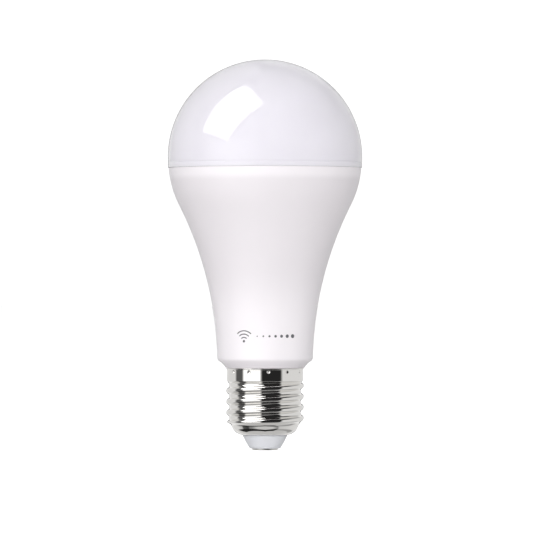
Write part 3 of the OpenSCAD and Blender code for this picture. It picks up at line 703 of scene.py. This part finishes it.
def screw_shell_rings():
    """Rings up the outside, over the bead and down the inside; closer together in the lip."""
    a = np.linspace(0, 2 * math.pi, SHELL_STEPS, endpoint=False)
    lip = THREAD_REF_Z - (THREAD_REF_Z - CAP_BOTTOM) * np.cos(np.radians(np.linspace(0, 84, 32)))
    bead_bottom = CAP_TOP - 2 * BEAD_HALF
    wall = np.linspace(lip[-1] + 0.12 * MM, COLLAR_Z - 0.1 * MM, 130)
    collar = np.linspace(COLLAR_Z, bead_bottom, 24)
    bead_angles = np.radians(np.linspace(-90, 90, 13))
    bead_z = bead_bottom + BEAD_HALF + BEAD_HALF * np.sin(bead_angles)
    bead_out = BEAD_OUT * np.cos(bead_angles)
    zs = np.concatenate([lip, wall, collar, bead_z])
    out = np.concatenate([np.zeros(len(lip) + len(wall) + len(collar)), bead_out])
    z, angle = np.meshgrid(zs, a, indexing="ij")
    dents = dimple_depth(z, angle) * (z < bead_bottom)
    outer_r = shell_radius(z, angle) - dents + out[:, None]
    z_in = np.concatenate([[CAP_TOP, bead_bottom], wall[::-3], lip[::-2]])
    zi, angle_in = np.meshgrid(z_in, a, indexing="ij")
    under_lip = smooth((THREAD_REF_Z - zi) / (THREAD_REF_Z - CAP_BOTTOM))
    inner_r = shell_radius(zi, angle_in) - SHEET * (1 - 0.4 * under_lip) - dimple_depth(zi, angle_in)
    radius = np.concatenate([outer_r, inner_r])
    height = np.concatenate([z, zi + SHEET * 0.8 * under_lip])
    angle = np.concatenate([angle, angle_in])
    return np.stack([radius * np.cos(angle), radius * np.sin(angle), height], -1)


# ---------------------------------------------------------------- printed mark
MARK_Z = 38.3 * MM
MARK_RISE = 0.03 * MM
MARK_SINK = 0.05 * MM
ARCS_FOOT = (-7.2 * MM, -1.75 * MM)
ARC_RADII = (1.35 * MM, 2.45 * MM, 3.55 * MM)
DOTS_START = -2.6 * MM
DOT_STEP = 2.05 * MM
DOTS = 7


def on_housing(across, up, lift):
    """A point of the flat artwork laid round the housing's front, lifted off its surface."""
    height = MARK_Z + up
    radius = side_radius(height)
    angle = -math.pi / 2 + across / radius
    return ((radius + lift) * math.cos(angle), (radius + lift) * math.sin(angle), height)


def add_strip(bm, left, right):
    """A closed strip between two rows of artwork points."""
    rows = []
    for (ax, ay), (bx, by) in zip(left, right):
        rows.append([bm.verts.new(on_housing(ax, ay, MARK_RISE)),
                     bm.verts.new(on_housing(bx, by, MARK_RISE)),
                     bm.verts.new(on_housing(bx, by, -MARK_SINK)),
                     bm.verts.new(on_housing(ax, ay, -MARK_SINK))])
    for p, q in zip(rows, rows[1:]):
        for k in range(4):
            bm.faces.new([p[k], p[(k + 1) % 4], q[(k + 1) % 4], q[k]])
    bm.faces.new(rows[0][::-1])
    bm.faces.new(rows[-1])


def add_arc_stroke(bm, centre, radius, half_width, start, end, steps=24):
    outer = arc(centre, radius + half_width, start, end, steps)
    inner = arc(centre, radius - half_width, start, end, steps)
    add_strip(bm, outer, inner)


def add_dot(bm, centre, radius, steps=16):
    heights = [radius * math.sin(t) for t in np.linspace(-math.pi / 2, math.pi / 2, steps + 1)[1:-1]]
    left = [(centre[0] - math.sqrt(radius ** 2 - h * h), centre[1] + h) for h in heights]
    right = [(centre[0] + math.sqrt(radius ** 2 - h * h), centre[1] + h) for h in heights]
    add_strip(bm, left, right)


def printed_mark():
    """Plain signal arcs with a row of dots that grow, as a dimming scale."""
    bm = bmesh.new()
    add_dot(bm, (ARCS_FOOT[0], ARCS_FOOT[1] + 0.1 * MM), 0.42 * MM)
    for radius in ARC_RADII:
        add_arc_stroke(bm, ARCS_FOOT, radius, 0.17 * MM, 45, 135)
    for k in range(DOTS):
        add_dot(bm, (DOTS_START + k * DOT_STEP, 0.0), (0.2 + 0.075 * k) * MM)
    bmesh.ops.recalc_face_normals(bm, faces=bm.faces)
    mesh = bpy.data.meshes.new("printed_mark")
    bm.to_mesh(mesh)
    bm.free()
    return finish_mesh("printed_mark", mesh, 40, printed_ink())


# ---------------------------------------------------------------- outer pieces
def place(piece, node, slot):
    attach(piece, "root")
    if node:
        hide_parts(node)


def outer_pieces():
    place(turned("opal_dome", dome_outline(), opal_plastic()), "diffuser_dome", "opal_dome")
    place(turned("white_housing", housing_outline(), housing_plastic()), "outer_housing",
          "white_housing")
    chrome = plated_metal("chrome_plate", (0.90, 0.885, 0.86), (0.87, 0.855, 0.83), 0.045, 160.0)
    place(stacked("chrome_screw_shell", screw_shell_rings(), chrome), "screw_shell",
          "chrome_shell")
    place(turned("pale_insulator", insulator_outline(), insulator_plastic()), "insulator",
          "pale_insulator")
    nickel = plated_metal("nickel_plate", (0.84, 0.83, 0.80), (0.76, 0.75, 0.72), 0.42, 700.0)
    place(turned("contact_button", contact_outline(), nickel), "centre_contact",
          "nickel_contact")
    place(printed_mark(), None, "grey_ink")


# ---------------------------------------------------------------- stage, light and camera
# radiance of the room's walls at the horizon and far above or below it
WALL = 0.74
WALL_FAR = 0.55
# elevations between which the one fades into the other
WALL_FADE = (20, 60)
# what the camera sees past the floor's edge
BACKDROP = 1.1
# patches of a made-up room, chosen until the cap's reflections looked like the picture's
# from the front. Each one: azimuths, elevations, softness of the two, how much it climbs per
# degree away from the front, all in degrees, and the radiance. A later one covers an earlier.
ROOM_PATCHES = [((-176, -150), (-30, 78), (3, 8), 0.0, 0.85),
                ((156, 181), (-30, 40), (4, 8), 0.0, 0.85),
                ((-181, -166), (-16, 16), (3, 4), 0.0, 0.25),
                ((166, 181), (-16, 16), (3, 4), 0.0, 0.25),
                ((120, 181), (42, 90), (14, 8), 0.0, 0.30),
                ((-181, -176), (42, 90), (3, 8), 0.0, 0.30),
                ((-112, 60), (22, 64), (8, 8), 0.0, 0.10),
                ((60, 150), (26, 60), (12, 10), 0.0, 0.40),
                ((40, 98), (30, 58), (14, 8), 0.0, 0.06),
                ((-112, 54), (-53, -18), (8, 6), 0.0, 0.6),
                ((-70, -13), (-18, 15), (7, 4), 0.0, 1.30),
                ((-99, -70), (-50, 50), (10, 6), 0.0, 0.10),
                ((-12, 52), (-44, 91), (10, 5), 0.0, 0.02),
                ((-181, 181), (66, 92), (4, 10), 0.0, 0.06),
                ((-130, 60), (-82, -59), (10, 3), 0.22, 0.02),
                ((60, 150), (-74, -61), (20, 4), 0.22, 0.35)]


def room():
    """What the gloss reflects, by compass direction from the lamp: azimuth 0 is the front,
    positive to the right. Pale walls, with darker and lighter patches."""
    world = bpy.data.worlds.new("studio")
    bpy.context.scene.world = world
    world.use_nodes = True
    tree = Tree(world.node_tree)
    direction = tree.node("ShaderNodeTexCoord").outputs["Generated"]
    axes = tree.node("ShaderNodeSeparateXYZ", {"Vector": direction}).outputs
    front = tree.math("MULTIPLY", axes["Y"], -1.0)
    compass = tree.math("MULTIPLY", tree.math("ARCTAN2", axes["X"], front), 180 / math.pi)
    rise = tree.math("MULTIPLY", tree.math("ARCSINE", axes["Z"]), 180 / math.pi)

    def patch(azimuth, elevation, soft, climb):
        lowered = tree.math("MULTIPLY_ADD", tree.math("ABSOLUTE", compass), -climb, rise)
        return tree.math("MULTIPLY", tree.band(compass, *azimuth, soft[0]),
                         tree.band(lowered, *elevation, soft[1]))

    level = tree.ramp(tree.math("ABSOLUTE", rise), *WALL_FADE, WALL, WALL_FAR)
    for azimuth, elevation, soft, climb, value in ROOM_PATCHES:
        level = tree.blend(patch(azimuth, elevation, soft, climb), level, value)
    seen = tree.node("ShaderNodeLightPath").outputs["Is Camera Ray"]
    background = tree.node("ShaderNodeBackground", {
        "Color": (1.0, 1.0, 1.0, 1.0), "Strength": tree.blend(seen, level, BACKDROP)})
    output = tree.node("ShaderNodeOutputWorld")
    tree.put(output.inputs["Surface"], background.outputs[0])
    # the panels light the matt surfaces; the room shows in the gloss only
    world.cycles_visibility.diffuse = False


# panels that light the matt surfaces: name, azimuth, elevation, radiance
PANELS = [("front_panel", -3, 5, 4.95),
          ("upper_front_panel", -30, 40, 1.1),
          ("left_panel", -80, 5, 0.4),
          ("upper_left_panel", -90, 50, 1.25),
          ("top_panel", 0, 80, 0.8),
          ("right_panel", 90, 38, 1.15),
          ("back_right_panel", 135, 30, 0.6)]
PANEL_DISTANCE = 1.5
PANEL_SIZE = (1.2, 1.2)
# the soft box that shows as a window in the dome. Its direction, size and turn were solved from
# where that window lies in the picture
KEY_PANEL = ("key_softbox", -59.3, 48.7, 3.6)
KEY_DISTANCE = 0.8
KEY_SIZE = (0.62, 0.89)
KEY_ROLL = math.radians(-10)
FLOOR_GLOW = 0.12
FLOOR_HALF = 6.0


def compass_vector(azimuth, elevation):
    """Direction from the lamp: azimuth 0 is the front, positive to the right, in degrees."""
    a, e = math.radians(azimuth), math.radians(elevation)
    return Vector((math.sin(a) * math.cos(e), -math.cos(a) * math.cos(e), math.sin(e)))


def light_panel(name, azimuth, elevation, radiance, distance=PANEL_DISTANCE, size=PANEL_SIZE,
                roll=0.0, in_gloss=False):
    """A panel aimed at the dome's centre. It shows either in the gloss or on matt surfaces."""
    light = bpy.data.lights.new(name, "AREA")
    light.shape = "RECTANGLE"
    light.size, light.size_y = size
    light.energy = radiance * math.pi * size[0] * size[1]
    panel = bpy.data.objects.new(name, light)
    bpy.context.scene.collection.objects.link(panel)
    toward = compass_vector(azimuth, elevation)
    turn = toward.to_track_quat("Z", "Y").to_matrix().to_4x4() @ Matrix.Rotation(roll, 4, "Z")
    panel.matrix_world = Matrix.Translation(Vector((0, 0, DOME_Z)) + toward * distance) @ turn
    panel.visible_camera = False
    panel.visible_glossy = in_gloss
    panel.visible_diffuse = not in_gloss


def floor():
    """White for the camera, and a weak upward glow on the lamp; it doesn't show in the gloss."""
    bm = bmesh.new()
    bmesh.ops.create_grid(bm, x_segments=24, y_segments=24, size=FLOOR_HALF)
    mesh = bpy.data.meshes.new("floor")
    bm.to_mesh(mesh)
    bm.free()
    material = bpy.data.materials.new("pale_floor")
    material.use_nodes = True
    tree = Tree(material.node_tree)
    grain = tree.noise(30.0, 2.0)
    paint = tree.node("ShaderNodeBsdfDiffuse", {
        "Color": tree.mix(grain, (0.78, 0.78, 0.78), (0.8, 0.8, 0.8))})
    seen = tree.node("ShaderNodeLightPath").outputs["Is Camera Ray"]
    glow = tree.node("ShaderNodeEmission", {"Strength": tree.ramp(seen, 0.0, 1.0, FLOOR_GLOW, 1.0)})
    lit_and_glowing = tree.node("ShaderNodeAddShader")
    tree.put(lit_and_glowing.inputs[0], paint.outputs[0])
    tree.put(lit_and_glowing.inputs[1], glow.outputs[0])
    output = tree.node("ShaderNodeOutputMaterial")
    tree.put(output.inputs["Surface"], lit_and_glowing.outputs[0])
    mesh.materials.append(material)
    plane = bpy.data.objects.new("floor", mesh)
    bpy.context.scene.collection.objects.link(plane)
    plane.visible_glossy = False


def camera():
    data = bpy.data.cameras.new("camera")
    data.sensor_width = SENSOR_MM
    data.lens = SENSOR_MM * CAMERA_DISTANCE / VIEW_WIDTH
    data.clip_start = 0.1
    data.clip_end = 50.0
    seen_from = bpy.data.objects.new("camera", data)
    seen_from.location = (CAMERA_SIDE, -CAMERA_DISTANCE, CAMERA_HEIGHT)
    seen_from.rotation_euler = (math.pi / 2, 0, 0)
    bpy.context.scene.collection.objects.link(seen_from)
    bpy.context.scene.camera = seen_from


camera()
room()
for panel in PANELS:
    light_panel(*panel)
light_panel(*KEY_PANEL, KEY_DISTANCE, KEY_SIZE, roll=KEY_ROLL, in_gloss=True)
floor()
outer_pieces()
dress_inner_nodes()
bpy.context.scene.view_settings.view_transform = "Standard"
